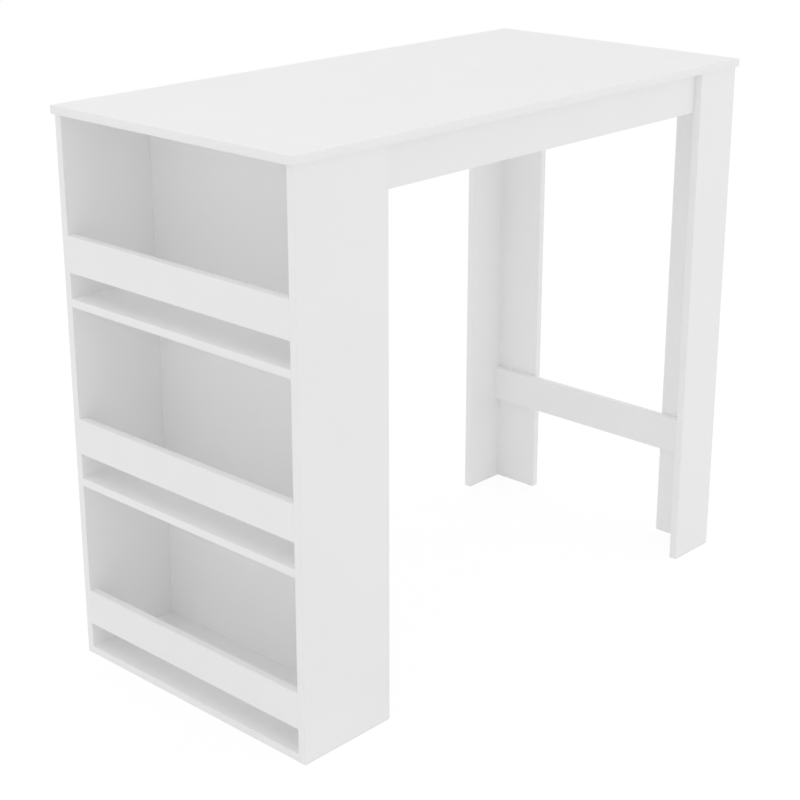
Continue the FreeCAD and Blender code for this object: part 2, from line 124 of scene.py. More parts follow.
class BoardSettings(bpy.types.PropertyGroup):
    """Melamine faced chipboard"""

    melamine: colour("Melamine", "White facing of the boards", (0.932, 0.932, 0.933))
    melamine_shade: colour("Melamine shade", "Tone that the facing drifts to", (0.92, 0.92, 0.922))
    tone_patch: length("Tone patch", "Size of the patches that the tone drifts in", 0.17)
    gloss_roughness: share("Roughness", "Roughness of the satin facing", 0.42)
    gloss_patch: length("Gloss patch", "Size of the patches that the gloss drifts in", 0.035)
    emboss_grain: length("Emboss grain", "Size of the fine pearl embossing", 0.0011)
    emboss_depth: length("Emboss depth", "Height of the fine pearl embossing", 0.00002)
    chip_light: colour("Light chips", "Pale chips in a raw board end", (0.56, 0.42, 0.27))
    chip_dark: colour("Dark chips", "Dark chips in a raw board end", (0.26, 0.17, 0.1))
    chip_size: length("Chip size", "Size of the chips in a raw board end", 0.0022)
    foot_height: length("Foot height", "Height that a raw board end is seen up to", 0.0003)


class BandSettings(bpy.types.PropertyGroup):
    """Edge bands"""

    arris_radius: length("Arris radius", "Rounding of a band's outer corners", 0.00055)
    seam: length("Seam", "Bevel beside the board, which shows as a fine glue line", 0.00012)
    arris_steps: count("Arris steps", "Points along each rounding", 3, 1)
    tone: colour("Tone", "White of the bands", (0.936, 0.936, 0.936))
    gloss_roughness: share("Roughness", "Roughness of the bands", 0.36)
    grain: length("Grain", "Size of the fine skin on the bands", 0.0016)


class FittingSettings(bpy.types.PropertyGroup):
    """Cams, covers, bolts, screws and dowels"""

    sides: count("Sides", "Faces around a cam or a cover", 40, 12)
    small_sides: count("Small sides", "Faces around a bolt, screw or dowel", 20, 12)
    cross_length: length("Cross length", "Driver cross of a cam, from tip to tip", 0.009)
    cross_width: length("Cross width", "Driver cross of a cam, across an arm", 0.0016)
    cross_depth: length("Cross depth", "Driver cross of a cam", 0.002)
    screw_cross: length("Screw cross", "Driver cross of a screw, from tip to tip", 0.0046)
    screw_cross_width: length("Screw cross width", "Driver cross of a screw, across an arm", 0.0009)
    screw_cross_depth: length("Screw cross depth", "Driver cross of a screw", 0.0016)
    cover_tone: colour("Cover tone", "White of the plastic covers", (0.925, 0.925, 0.922))
    cover_roughness: share("Cover roughness", "Roughness of the covers", 0.33)
    cover_grain: length("Cover grain", "Size of the fine skin on the covers", 0.0012)
    cast_zinc: colour("Cast zinc", "Zinc of the cams", (0.5, 0.505, 0.515))
    zinc_roughness: share("Zinc roughness", "Roughness of the cams", 0.38)
    zinc_grain: length("Zinc grain", "Size of the mottle on the cams", 0.0009)
    steel: colour("Steel", "Zinc plated steel", (0.63, 0.64, 0.66))
    screw_roughness: share("Screw roughness", "Roughness of the screws", 0.26)
    bolt_roughness: share("Bolt roughness", "Roughness of the cam bolts", 0.28)
    steel_grain: length("Steel grain", "Size of the mottle on screws and bolts", 0.002)
    beech: colour("Beech", "Wood of the dowels", (0.62, 0.42, 0.24))
    beech_shade: colour("Beech shade", "Darker grain of the dowels", (0.45, 0.27, 0.13))
    beech_patch: length("Beech patch", "Size of the patches that the wood's tone drifts in", 0.04)
    beech_grain: length("Beech grain", "Width of the grain of the dowels", 0.0011)
    beech_fleck: length("Beech fleck", "Width of the dark flecks of the dowels", 0.0004)


class StageSettings(bpy.types.PropertyGroup):
    """Floor, light and camera"""

    floor_size: length("Floor size", "Side of the square floor", 60.0)
    floor_tone: colour(
        "Floor tone", "Colour that the floor throws back on the table", (0.97, 0.97, 0.97),
    )
    shadow_share: share("Shadow share", "How much of the shadow shows on the white floor", 0.2)
    dome: FloatProperty(
        name="Dome", description="Strength of the even white dome", default=0.82, min=0,
    )
    top_power: power("Top lamp", "Lamp high over the shelf end", 9.0)
    front_power: power("Front lamp", "Lamp in front of the legs", 7.0)
    rear_power: power("Rear lamp", "Lamp behind the table", 5.0)
    lamp_size: length("Lamp size", "Side of each square lamp", 2.4)
    bounces: count("Bounces", "How often light goes on between the white boards", 7, 0)
    camera_place: FloatVectorProperty(
        name="Camera place", description="Where the camera stands",
        default=(-2.339, -2.125, 1.585), size=3, unit="LENGTH", subtype="TRANSLATION",
    )
    camera_turn: angle("Camera turn", "Heading of the view from +X towards +Y", 42.89)
    camera_tilt: angle("Camera tilt", "How far the view looks down", 18.8)
    lens: FloatProperty(
        name="Lens", description="Focal length on a 36 mm sensor", default=78.7, unit="CAMERA",
    )
    shift: FloatProperty(name="Shift", description="Vertical lens shift", default=-0.06)


class TableSettings(bpy.types.PropertyGroup):
    """Everything that a user may change"""

    boards: PointerProperty(type=BoardSettings)
    bands: PointerProperty(type=BandSettings)
    fittings: PointerProperty(type=FittingSettings)
    stage: PointerProperty(type=StageSettings)


# Node trees


def add(tree, kind, inputs=(), **settings):
    """A node with its settings made and its inputs given a value or linked from a socket."""
    node = tree.nodes.new(kind)
    for name, value in settings.items():
        setattr(node, name, value)
    for name, value in dict(inputs).items():
        socket = node.inputs[name]
        if isinstance(value, bpy.types.NodeSocket):
            tree.links.new(value, socket)
        else:
            socket.default_value = value
    return node


def math_node(tree, operation, *values):
    """The result of a sum on values and sockets."""
    return add(tree, "ShaderNodeMath", dict(enumerate(values)), operation=operation).outputs[0]


def new_geometry_tree(name, sizes):
    """A geometry tree with named inputs, and the sockets that hand these to its nodes."""
    tree = bpy.data.node_groups.new(name, "GeometryNodeTree")
    tree.interface.new_socket("Geometry", in_out="INPUT", socket_type="NodeSocketGeometry")
    for label, kind in sizes.items():
        tree.interface.new_socket(label, in_out="INPUT", socket_type="NodeSocket" + kind)
    tree.interface.new_socket("Geometry", in_out="OUTPUT", socket_type="NodeSocketGeometry")
    return tree, tree.nodes.new("NodeGroupInput").outputs


def end_geometry_tree(tree, geometry, finish):
    """Ends a tree with plain geometry in its finish."""
    real = add(tree, "GeometryNodeRealizeInstances", {"Geometry": geometry}).outputs[0]
    finished = add(tree, "GeometryNodeSetMaterial", {"Geometry": real, "Material": finish})
    add(tree, "NodeGroupOutput", {"Geometry": finished.outputs[0]})


def named_vector(tree, name):
    """The vector that set_vectors gave each point under a name."""
    node = add(tree, "GeometryNodeInputNamedAttribute", {"Name": name}, data_type="FLOAT_VECTOR")
    return node.outputs[0]


def moved(tree, geometry, place, scale=(1, 1, 1)):
    """The geometry scaled and then moved."""
    settings = {"Geometry": geometry, "Translation": place, "Scale": scale}
    return add(tree, "GeometryNodeTransform", settings).outputs[0]


def run_tree(piece, tree, values):
    """Runs a geometry tree on a piece and leaves its result as the piece's plain mesh."""
    modifier = piece.modifiers.new(tree.name, "NODES")
    modifier.node_group = tree
    for item in tree.interface.items_tree:
        if item.in_out == "INPUT" and item.name in values:
            modifier[item.identifier] = values[item.name]
    seen = piece.evaluated_get(bpy.context.evaluated_depsgraph_get())
    mesh = bpy.data.meshes.new_from_object(seen)
    piece.modifiers.remove(modifier)
    if not mesh.polygons:
        raise RuntimeError(f"{tree.name} made nothing for {piece.name}")
    piece.data = mesh
    turn_outwards(mesh)


def turn_outwards(mesh):
    """Merges doubled corners and turns every face outwards."""
    shape = bmesh.new()
    shape.from_mesh(mesh)
    bmesh.ops.remove_doubles(shape, verts=shape.verts, dist=SAME_POINT)
    bmesh.ops.recalc_face_normals(shape, faces=shape.faces)
    shape.to_mesh(mesh)
    shape.free()


# Pieces


def new_object(name, content):
    """An object at the origin, in the scene."""
    thing = bpy.data.objects.new(name, content)
    bpy.context.scene.collection.objects.link(thing)
    return thing


def new_piece(name, points, edges=()):
    """Loose points and lines, which a tree makes into a piece."""
    mesh = bpy.data.meshes.new(name)
    mesh.from_pydata([tuple(point) for point in points], [tuple(edge) for edge in edges], [])
    return new_object(name, mesh)


def set_vectors(piece, name, values):
    """One vector for each point of a piece, under a name that its tree reads."""
    attribute = piece.data.attributes.new(name, "FLOAT_VECTOR", "POINT")
    attribute.data.foreach_set("vector", [number for value in values for number in value])


def hand_over(piece, nodes):
    """Shades a piece and puts it in the place of its CAD nodes."""
    piece.data.shade_smooth()
    piece.data.set_sharp_from_angle(angle=SHARP_ANGLE)
    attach(piece, "root")
    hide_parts(*nodes)


def solids(node):
    """The corner points of each separate solid of a CAD node."""
    shape = bmesh.new()
    shape.from_mesh(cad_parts[node].data)
    bmesh.ops.remove_doubles(shape, verts=shape.verts, dist=SAME_POINT)
    shape.verts.ensure_lookup_table()
    shape.verts.index_update()
    met = set()
    found = []
    for first in range(len(shape.verts)):
        if first in met:
            continue
        met.add(first)
        queue = [first]
        for index in queue:
            for edge in shape.verts[index].link_edges:
                other = edge.other_vert(shape.verts[index]).index
                if other not in met:
                    met.add(other)
                    queue.append(other)
        found.append(np.array([shape.verts[index].co for index in queue]))
    shape.free()
    return sorted(found, key=lambda points: tuple(points.mean(0).round(5)))


class Place:
    """Where a turned CAD solid sits: its axis, its two ends, and which of them is its head."""

    def __init__(self, points):
        low, high = points.min(0), points.max(0)
        size = high - low
        self.axis = min(range(3), key=lambda axis: abs(size[axis - 1] - size[axis - 2]))
        self.centre = Vector((low + high) / 2)
        self.low_end = self.centre.copy()
        self.low_end[self.axis] = low[self.axis]
        self.high_end = self.centre.copy()
        self.high_end[self.axis] = high[self.axis]
        self.head_is_high = self.weigh(points, self.high_end) > self.weigh(points, self.low_end)

    def weigh(self, points, end):
        """An end's radius and its number of corners, which are largest at a head or a cut face."""
        here = points[abs(points[:, self.axis] - end[self.axis]) < SAME_PLANE]
        radius = np.linalg.norm(here - np.array(end), axis=1).max()
        return (round(float(radius), 5), len(here))

    def middle(self):
        return self.centre

    def head(self):
        return self.high_end if self.head_is_high else self.low_end

    def facing(self):
        """The way out of the head."""
        return AXES[self.axis] if self.head_is_high else -AXES[self.axis]


def is_in_board(point):
    for name in FLAT_BOARDS + STANDING_BOARDS:
        low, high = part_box(name)
        if all(low[axis] < point[axis] < high[axis] for axis in range(3)):
            return True
    return False


# Materials

# How far each finish strays from its own tone and roughness
PLASTIC_SHADE = 0.975
METAL_SHADE = 0.8
METAL_DULLER = 0.16
GLOSS_DRIFT = 0.03
MELAMINE_DULLER = 0.04
CHIPS_DULLER = 0.45

# For beech, the most of its darker tone in a patch, the noise at which flecks begin and are
# full, and the roughness where the grain is palest and darkest
PATCH_SHARE = 0.5
FLECK_NOISE = (0.52, 0.7)
BEECH_ROUGHNESS = (0.6, 0.78)

# Sizes of patterns, and how many turning marks of a metal fit in one grain of its mottle
PLASTIC_PATCH = 60 * MM
SKIN_DEPTH = 0.01 * MM
GRAIN_DEPTH = 0.05 * MM
MARKS_PER_GRAIN = 6

# How a pattern is stretched on a fitting, whose axis is Z
ROUND_THE_AXIS = (0.15, 0.15, 1)
LONG_GRAIN = (1, 1, 0.06)
SHORT_FLECKS = (1, 1, 0.2)


def new_material(name):
    """A material and its tree, shader and object coordinates."""
    material = bpy.data.materials.new(name)
    material.use_nodes = True
    tree = material.node_tree
    place = add(tree, "ShaderNodeTexCoord").outputs["Object"]
    return material, tree, tree.nodes["Principled BSDF"], place


def noise(tree, place, size, detail=2.0, roughness=0.5):
    """Noise with features about as large as the size."""
    settings = {"Vector": place, "Scale": 1 / size, "Detail": detail, "Roughness": roughness}
    return add(tree, "ShaderNodeTexNoise", settings).outputs["Fac"]


def spread(tree, value, low, high, start=0.3, end=0.7):
    """Stretches a value's middle part to a range."""
    settings = {"Value": value, "From Min": start, "From Max": end, "To Min": low, "To Max": high}
    return add(tree, "ShaderNodeMapRange", settings).outputs["Result"]


def blend_colours(tree, factor, first, second):
    """A blend of two colours. Each may be a socket or three numbers."""
    # The Mix node has a set of sockets for each data type, so they are told by their numbers.
    mix = add(tree, "ShaderNodeMix", {0: factor}, data_type="RGBA")
    for index, value in ((6, first), (7, second)):
        if isinstance(value, bpy.types.NodeSocket):
            tree.links.new(value, mix.inputs[index])
        else:
            mix.inputs[index].default_value = (*value, 1)
    return mix.outputs[2]


def set_bump(tree, shader, height, depth):
    bump = add(tree, "ShaderNodeBump", {"Height": height, "Distance": depth})
    tree.links.new(bump.outputs["Normal"], shader.inputs["Normal"])


def set_finish(tree, shader, tone, roughness):
    tree.links.new(tone, shader.inputs["Base Color"])
    tree.links.new(roughness, shader.inputs["Roughness"])


def make_melamine(name, raw_foot):
    """White satin facing. A standing board shows its chips where it is cut off at the floor."""
    settings = bpy.context.scene.bar_table.boards
    material, tree, shader, place = new_material(name)
    drift = spread(tree, noise(tree, place, settings.tone_patch), 0, 1)
    tone = blend_colours(tree, drift, settings.melamine, settings.melamine_shade)
    gloss = noise(tree, place, settings.gloss_patch, detail=3)
    low = settings.gloss_roughness - GLOSS_DRIFT
    high = settings.gloss_roughness + MELAMINE_DULLER
    roughness = spread(tree, gloss, low, high)
    emboss = noise(tree, place, settings.emboss_grain, detail=3, roughness=0.6)
    if raw_foot:
        height = add(tree, "ShaderNodeSeparateXYZ", {"Vector": place}).outputs["Z"]
        foot = math_node(tree, "LESS_THAN", height, settings.foot_height)
        pattern = {"Vector": place, "Scale": 1 / settings.chip_size}
        cells = add(tree, "ShaderNodeTexVoronoi", pattern).outputs["Color"]
        chip = add(tree, "ShaderNodeSeparateColor", {"Color": cells}).outputs[0]
        chips = blend_colours(tree, chip, settings.chip_dark, settings.chip_light)
        tone = blend_colours(tree, foot, tone, chips)
        roughness = math_node(tree, "MULTIPLY_ADD", foot, CHIPS_DULLER, roughness)
    set_finish(tree, shader, tone, roughness)
    set_bump(tree, shader, emboss, settings.emboss_depth)
    return material


def make_plastic(name, tone, roughness, grain):
    """White moulded or extruded plastic, with a fine skin and a faint drift in tone."""
    material, tree, shader, place = new_material(name)
    darker = [PLASTIC_SHADE * value for value in tone]
    drift = spread(tree, noise(tree, place, PLASTIC_PATCH), 0, 1)
    skin = noise(tree, place, grain)
    gloss = spread(tree, skin, roughness - GLOSS_DRIFT, roughness + GLOSS_DRIFT)
    set_finish(tree, shader, blend_colours(tree, drift, tone, darker), gloss)
    set_bump(tree, shader, skin, SKIN_DEPTH)
    return material


def own_place(tree, stretch):
    """The place on one copy of a fitting, whose axis is Z, so that a pattern follows each copy."""
    kept = add(tree, "ShaderNodeAttribute", attribute_name="own_place").outputs["Vector"]
    return add(tree, "ShaderNodeMapping", {"Vector": kept, "Scale": stretch}).outputs[0]


def make_metal(name, tone, roughness, grain):
    """Plated or cast metal, with a mottled skin and faint turning marks."""
    material, tree, shader, place = new_material(name)
    darker = [METAL_SHADE * value for value in tone]
    mottle = spread(tree, noise(tree, place, grain, detail=4), 0, 1)
    gloss = spread(tree, mottle, roughness, roughness + METAL_DULLER, start=0, end=1)
    set_finish(tree, shader, blend_colours(tree, mottle, tone, darker), gloss)
    shader.inputs["Metallic"].default_value = 1
    marks = noise(tree, own_place(tree, ROUND_THE_AXIS), grain / MARKS_PER_GRAIN)
    set_bump(tree, shader, marks, SKIN_DEPTH)
    return material


def make_beech(name):
    """Pale wood with short dark flecks."""
    settings = bpy.context.scene.bar_table.fittings
    material, tree, shader, place = new_material(name)
    along = own_place(tree, LONG_GRAIN)
    grain = noise(tree, along, settings.beech_grain, detail=4, roughness=0.65)
    flecks = noise(tree, own_place(tree, SHORT_FLECKS), settings.beech_fleck)
    patches = spread(tree, noise(tree, place, settings.beech_patch), 0, PATCH_SHARE)
    bare = blend_colours(tree, patches, settings.beech, settings.beech_shade)
    grained = blend_colours(tree, spread(tree, grain, 0, 1), bare, settings.beech_shade)
    flecked = spread(tree, flecks, 0, 1, *FLECK_NOISE)
    tone = blend_colours(tree, flecked, grained, settings.beech_shade)
    set_finish(tree, shader, tone, spread(tree, grain, *BEECH_ROUGHNESS))
    set_bump(tree, shader, grain, GRAIN_DEPTH)
    return material


def dress(nodes, material):
    """Gives CAD nodes that stay a material through their objects' slots."""
    for name in nodes:
        for material_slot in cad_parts[name].material_slots:
            material_slot.material = material


# Boards


class BARTABLE_OT_boards(bpy.types.Operator):
    """Face the drilled boards with white melamine"""

    bl_idname = "bar_table.boards"
    bl_label = "Face the boards"

    def execute(self, context):
        dress(FLAT_BOARDS, make_melamine("white_melamine", raw_foot=False))
        dress(STANDING_BOARDS, make_melamine("white_melamine_cut_at_floor", raw_foot=True))
        return {"FINISHED"}


# Edge bands

# An edge has no band where the bands make the board's box larger by less than this.
THINNEST_BAND = 0.1 * MM


def make_band_tree():
    """A strip with rounded outer corners along every line, on the side that the line faces."""
    sizes = {
        "Board thickness": "Float",
        "Band thickness": "Float",
        "Arris radius": "Float",
        "Seam": "Float",
        "Arris steps": "Int",
        "Finish": "Material",
    }
    tree, given = new_geometry_tree("Edge band", sizes)
    line = add(tree, "GeometryNodeMeshToCurve", {"Mesh": given["Geometry"]}).outputs[0]
    facing = {"Curve": line, "Normal": named_vector(tree, "outward")}
    turned = add(tree, "GeometryNodeSetCurveNormal", facing, mode="FREE").outputs[0]
    size = {"Width": given["Band thickness"], "Height": given["Board thickness"]}
    flat = add(tree, "GeometryNodeCurvePrimitiveQuadrilateral", size).outputs[0]
    half = math_node(tree, "MULTIPLY", given["Band thickness"], 0.5)
    beside = moved(tree, flat, add_vector(tree, half, 0, 0))
    place = add(tree, "GeometryNodeInputPosition").outputs[0]
    across = add(tree, "ShaderNodeSeparateXYZ", {"Vector": place}).outputs["X"]
    outer = math_node(tree, "GREATER_THAN", across, half)
    # The two corners at the board get the seam, and the two outer ones the arris.
    radius = add(tree, "ShaderNodeMapRange", {
        "Value": outer, "To Min": given["Seam"], "To Max": given["Arris radius"],
    }).outputs["Result"]
    rounding = {"Curve": beside, "Count": given["Arris steps"], "Radius": radius}
    rounded = add(tree, "GeometryNodeFilletCurve", rounding, mode="POLY").outputs[0]
    strip = add(tree, "GeometryNodeCurveToMesh", {
        "Curve": turned, "Profile Curve": rounded, "Fill Caps": True,
    })
    end_geometry_tree(tree, strip.outputs[0], given["Finish"])
    return tree


def banded_edges(board):
    """A board's banded edges and its thickness.

    Each edge is its middle line's start and end, the way that it faces and its band's thickness.
    """
    core_low, core_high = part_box(board)
    band_low, band_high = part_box(board + "_edge_band")
    low = Vector([min(pair) for pair in zip(core_low, band_low)])
    high = Vector([max(pair) for pair in zip(core_high, band_high)])
    size = high - low
    thin = min(range(3), key=lambda axis: size[axis])
    found = []
    for edge in range(3):
        run = 3 - thin - edge
        for outward, core_face, full_face in ((-1, core_low, low), (1, core_high, high)):
            thickness = abs(full_face[edge] - core_face[edge])
            if edge == thin or thickness < THINNEST_BAND:
                continue
            # On the tabletop, the strips along X cover the ends of those along Y.
            run_low, run_high = (low, high) if edge == 1 else (core_low, core_high)
            start = (low + high) / 2
            start[edge] = core_face[edge]
            end = start.copy()
            start[run] = run_low[run]
            end[run] = run_high[run]
            found.append((start, end, outward * AXES[edge], thickness))
    return found, size[thin]


class BARTABLE_OT_edge_bands(bpy.types.Operator):
    """Sweep a strip with softened arrises along every open edge of the boards"""

    bl_idname = "bar_table.edge_bands"
    bl_label = "Make the edge bands"

    def execute(self, context):
        settings = context.scene.bar_table.bands
        gloss = settings.gloss_roughness
        finish = make_plastic("white_edge_band", settings.tone, gloss, settings.grain)
        tree = make_band_tree()
        for board in FLAT_BOARDS + STANDING_BOARDS:
            node = board + "_edge_band"
            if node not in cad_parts:
                continue
            edges, board_thickness = banded_edges(board)
            points = [point for start, end, _, _ in edges for point in (start, end)]
            lines = [(2 * index, 2 * index + 1) for index in range(len(edges))]
            piece = new_piece("band_on_" + board, points, lines)
            set_vectors(piece, "outward", [way for _, _, way, _ in edges for _ in range(2)])
            run_tree(piece, tree, {
                "Board thickness": board_thickness,
                "Band thickness": edges[0][3],
                "Arris radius": settings.arris_radius,
                "Seam": settings.seam,
                "Arris steps": settings.arris_steps,
                "Finish": finish,
            })
            hand_over(piece, [node])
        return {"FINISHED"}


# Turned fittings

# A profile's points are millimetres: the distance from the axis, then the height.
# It is swept around a ring of this radius.
RING = 1 * MM

# Size and middle of a cam's other cutters, in millimetres, with the cam's face at height zero
CAM_POINTER = ((1.6, 0.8, 0.8), (6.2, 0, 0))
CAM_HOLLOW = ((4.2, 7, 7), (0, 0, -7.5))
CAM_SLOT = ((9, 4.6, 4.6), (4.5, 0, -7.5))

# A cover faces the way in which a point this far out is in no board.
COVER_PROBE = 2 * MM

# Height of a ridge's crest, as a share of the pitch
CREST = 0.45


def add_turned(tree, profile, sides):
    """Turns a profile around the axis."""
    ring = add(tree, "GeometryNodeCurvePrimitiveCircle", {"Resolution": sides, "Radius": RING})
    # The sweep lays the profile's X outwards and its Y downwards.
    laid = moved(tree, profile, (-RING, 0, 0), (1, -1, 1))
    shell = add(tree, "GeometryNodeCurveToMesh", {"Curve": ring.outputs[0], "Profile Curve": laid})
    merge = {"Geometry": shell.outputs[0], "Distance": SAME_POINT}
    return add(tree, "GeometryNodeMergeByDistance", merge).outputs[0]


def add_block(tree, size, middle=(0, 0, 0)):
    """A cutter of a size, moved to its middle."""
    return moved(tree, add(tree, "GeometryNodeMeshCube", {"Size": size}).outputs[0], middle)


def add_vector(tree, x, y, z):
    return add(tree, "ShaderNodeCombineXYZ", {"X": x, "Y": y, "Z": z}).outputs[0]


def make_fitting_tree(name, cutters=None):
    """Turns a profile, cuts it and sets a copy on every point, turned as the point says."""
    sizes = {
        "Profile": "Object",
        "Sides": "Int",
        "Cross length": "Float",
        "Cross width": "Float",
        "Cross depth": "Float",
        "Finish": "Material",
    }
    tree, given = new_geometry_tree(name, sizes)
    drawn = add(tree, "GeometryNodeObjectInfo", {"Object": given["Profile"]}).outputs["Geometry"]
    profile = add(tree, "GeometryNodeMeshToCurve", {"Mesh": drawn}).outputs[0]
    fitting = add_turned(tree, profile, given["Sides"])
    if cutters:
        cut = add(tree, "GeometryNodeMeshBoolean", {"Mesh 1": fitting},
                  operation="DIFFERENCE", solver="EXACT")
        for cutter in cutters(tree, given):
            tree.links.new(cutter, cut.inputs["Mesh 2"])
        fitting = cut.outputs[0]
    place = add(tree, "GeometryNodeInputPosition").outputs[0]
    kept = add(tree, "GeometryNodeStoreNamedAttribute",
               {"Geometry": fitting, "Name": "own_place", "Value": place},
               data_type="FLOAT_VECTOR", domain="POINT")
    ways = {
        "Primary Axis": named_vector(tree, "facing"),
        "Secondary Axis": named_vector(tree, "towards"),
    }
    turn = add(tree, "FunctionNodeAxesToRotation", ways, primary_axis="Z", secondary_axis="X")
    placed = add(tree, "GeometryNodeInstanceOnPoints", {
        "Points": given["Geometry"], "Instance": kept.outputs[0], "Rotation": turn.outputs[0],
    })
    end_geometry_tree(tree, placed.outputs[0], given["Finish"])
    return tree


def cross_cutters(tree, given):
    """Two crossed blocks, sunk in the face at Z zero."""
    # Each block is twice the depth high and half of it stands above the face.
    height = math_node(tree, "MULTIPLY", given["Cross depth"], 2.0)
    along_x = add_vector(tree, given["Cross length"], given["Cross width"], height)
    along_y = add_vector(tree, given["Cross width"], given["Cross length"], height)
    return [add_block(tree, along_x), add_block(tree, along_y)]


def cam_cutters(tree, given):
    """The driver cross, the pointer at the rim, and the bolt's hollow and slot."""
    cutters = cross_cutters(tree, given)
    for size, middle in (CAM_POINTER, CAM_HOLLOW, CAM_SLOT):
        cutters.append(add_block(tree, [MM * side for side in size], [MM * way for way in middle]))
    return cutters


def set_fittings(name, profile, places, tree, values, nodes):
    """One piece with a copy of a fitting at every place: an origin, a facing and a side way."""
    points = [(x * MM, y * MM, 0) for x, y in profile]
    lines = [(index, index + 1) for index in range(len(profile) - 1)]
    drawn = new_piece(name + "_profile", points, lines)
    piece = new_piece(name, [origin for origin, _, _ in places])
    set_vectors(piece, "facing", [facing for _, facing, _ in places])
    set_vectors(piece, "towards", [towards for _, _, towards in places])
    run_tree(piece, tree, {"Profile": drawn, **values})
    bpy.data.objects.remove(drawn)
    hand_over(piece, nodes)


def side_way(facing):
    """An axis square to the facing."""
    return AXES[1] if facing.x else AXES[0]


def places_of(node, origin):
    """Where each solid of a node goes, with its origin as Place.head or Place.middle gives it."""
    found = [Place(points) for points in solids(node)]
    return [(origin(place), place.facing(), side_way(place.facing())) for place in found]


def ridges(radius, depth, start, end, pitch):
    """The points of a ridged outline between two heights, from the lower one up."""
    number = int((end - start) / pitch)
    step = (end - start) / number
    points = []
    for index in range(number):
        low = start + index * step
        points += [(radius - depth, low), (radius, low + CREST * step)]
    return points + [(radius - depth, end)]


class BARTABLE_OT_cams(bpy.types.Operator):
    """Set round cast cams, each with its pointer towards its bolt"""

    bl_idname = "bar_table.cams"
    bl_label = "Set the cams"

    profile = ((0, -12), (6.9, -12), (7.3, -11.6), (7.3, -0.5), (7.0, 0), (0, 0))

    def execute(self, context):
        settings = context.scene.bar_table.fittings
        roughness = settings.zinc_roughness
        finish = make_metal("cast_zinc", settings.cast_zinc, roughness, settings.zinc_grain)
        tree = make_fitting_tree("Cam", cam_cutters)
        values = {
            "Sides": settings.sides,
            "Cross length": settings.cross_length,
            "Cross width": settings.cross_width,
            "Cross depth": settings.cross_depth,
            "Finish": finish,
        }
        for cams, bolts in CAM_NODES.items():
            bolt_places = [Place(points) for points in solids(bolts)]
            places = []
            for points in solids(cams):
                cam = Place(points)
                bolt = min(bolt_places, key=lambda place: (place.centre - cam.centre).length)
                towards = bolt.centre - cam.centre
                towards -= towards.project(cam.facing())
                places.append((cam.head(), cam.facing(), towards.normalized()))
            set_fittings("cast_" + cams, self.profile, places, tree, values, [cams])
        return {"FINISHED"}


class BARTABLE_OT_covers(bpy.types.Operator):
    """Set dished plastic covers over the cams and the stretcher's screws"""

    bl_idname = "bar_table.covers"
    bl_label = "Set the covers"

    profile = (
        (0, 0.02), (8.3, 0.02), (8.45, 0.15), (8.45, 0.42), (8.33, 0.64), (8.05, 0.77), (7.7, 0.8),
        (7.2, 0.77), (6.7, 0.66), (5.6, 0.6), (0, 0.58),
    )

    def execute(self, context):
        settings = context.scene.bar_table.fittings
        roughness = settings.cover_roughness
        finish = make_plastic("white_cover", settings.cover_tone, roughness, settings.cover_grain)
        tree = make_fitting_tree("Cover")
        values = {"Sides": settings.sides, "Finish": finish}
        for covers in COVER_NODES:
            places = []
            for points in solids(covers):
                cover = Place(points)
                out = AXES[cover.axis]
                if is_in_board(cover.centre + COVER_PROBE * out):
                    out = -out
                thickness = (cover.high_end - cover.low_end).length
                places.append((cover.centre - thickness / 2 * out, out, side_way(out)))
            name = "dished_" + covers
            set_fittings(name, self.profile, places, tree, values, [covers])
        return {"FINISHED"}


class BARTABLE_OT_screws(bpy.types.Operator):
    """Set countersunk screws with ridged shanks and driver crosses"""

    bl_idname = "bar_table.screws"
    bl_label = "Set the screws"

    tip = -25.5
    profile = (
        (0, tip), (0.5, tip + 1), *ridges(1.9, 0.45, tip + 2.2, -9, 1.5),
        (1.45, -8), (1.45, -4.2), (1.9, -2.6), (3.4, -0.45), (3.52, -0.3),
        (3.5, -0.12), (3.3, -0.05), (0, -0.05),
    )

    def execute(self, context):
        settings = context.scene.bar_table.fittings
        roughness = settings.screw_roughness
        finish = make_metal(
            "zinc_plated_screw_steel", settings.steel, roughness, settings.steel_grain,
        )
        tree = make_fitting_tree("Screw", cross_cutters)
        values = {
            "Sides": settings.small_sides,
            "Cross length": settings.screw_cross,
            "Cross width": settings.screw_cross_width,
            "Cross depth": settings.screw_cross_depth,
            "Finish": finish,
        }
        for screws in SCREW_NODES:
            places = places_of(screws, Place.head)
            name = "countersunk_" + screws
            set_fittings(name, self.profile, places, tree, values, [screws])
        return {"FINISHED"}


class BARTABLE_OT_cam_bolts(bpy.types.Operator):
    """Set cam bolts, each with a ridged thread, a shank, a neck and a round head"""

    bl_idname = "bar_table.cam_bolts"
    bl_label = "Set the cam bolts"

    foot = -45.8
    thread_top = foot + 10
    profile = (
        (0, foot), (2.2, foot), *ridges(2.8, 0.55, foot + 0.6, thread_top, 1.25),
        (3.25, thread_top), (3.25, -19.5), (2.6, -19.2), (1.95, -18.4), (1.95, -3.8),
        (2.5, -3.6), (2.9, -3.2), (3.0, -2.7), (3.0, -0.9), (2.9, -0.4), (2.5, 0), (0, 0),
    )

    def execute(self, context):
        settings = context.scene.bar_table.fittings
        roughness = settings.bolt_roughness
        finish = make_metal(
            "zinc_plated_bolt_steel", settings.steel, roughness, settings.steel_grain,
        )
        tree = make_fitting_tree("Cam bolt")
        values = {"Sides": settings.small_sides, "Finish": finish}
        for bolts in CAM_NODES.values():
            places = places_of(bolts, Place.head)
            set_fittings("turned_" + bolts, self.profile, places, tree, values, [bolts])
        return {"FINISHED"}


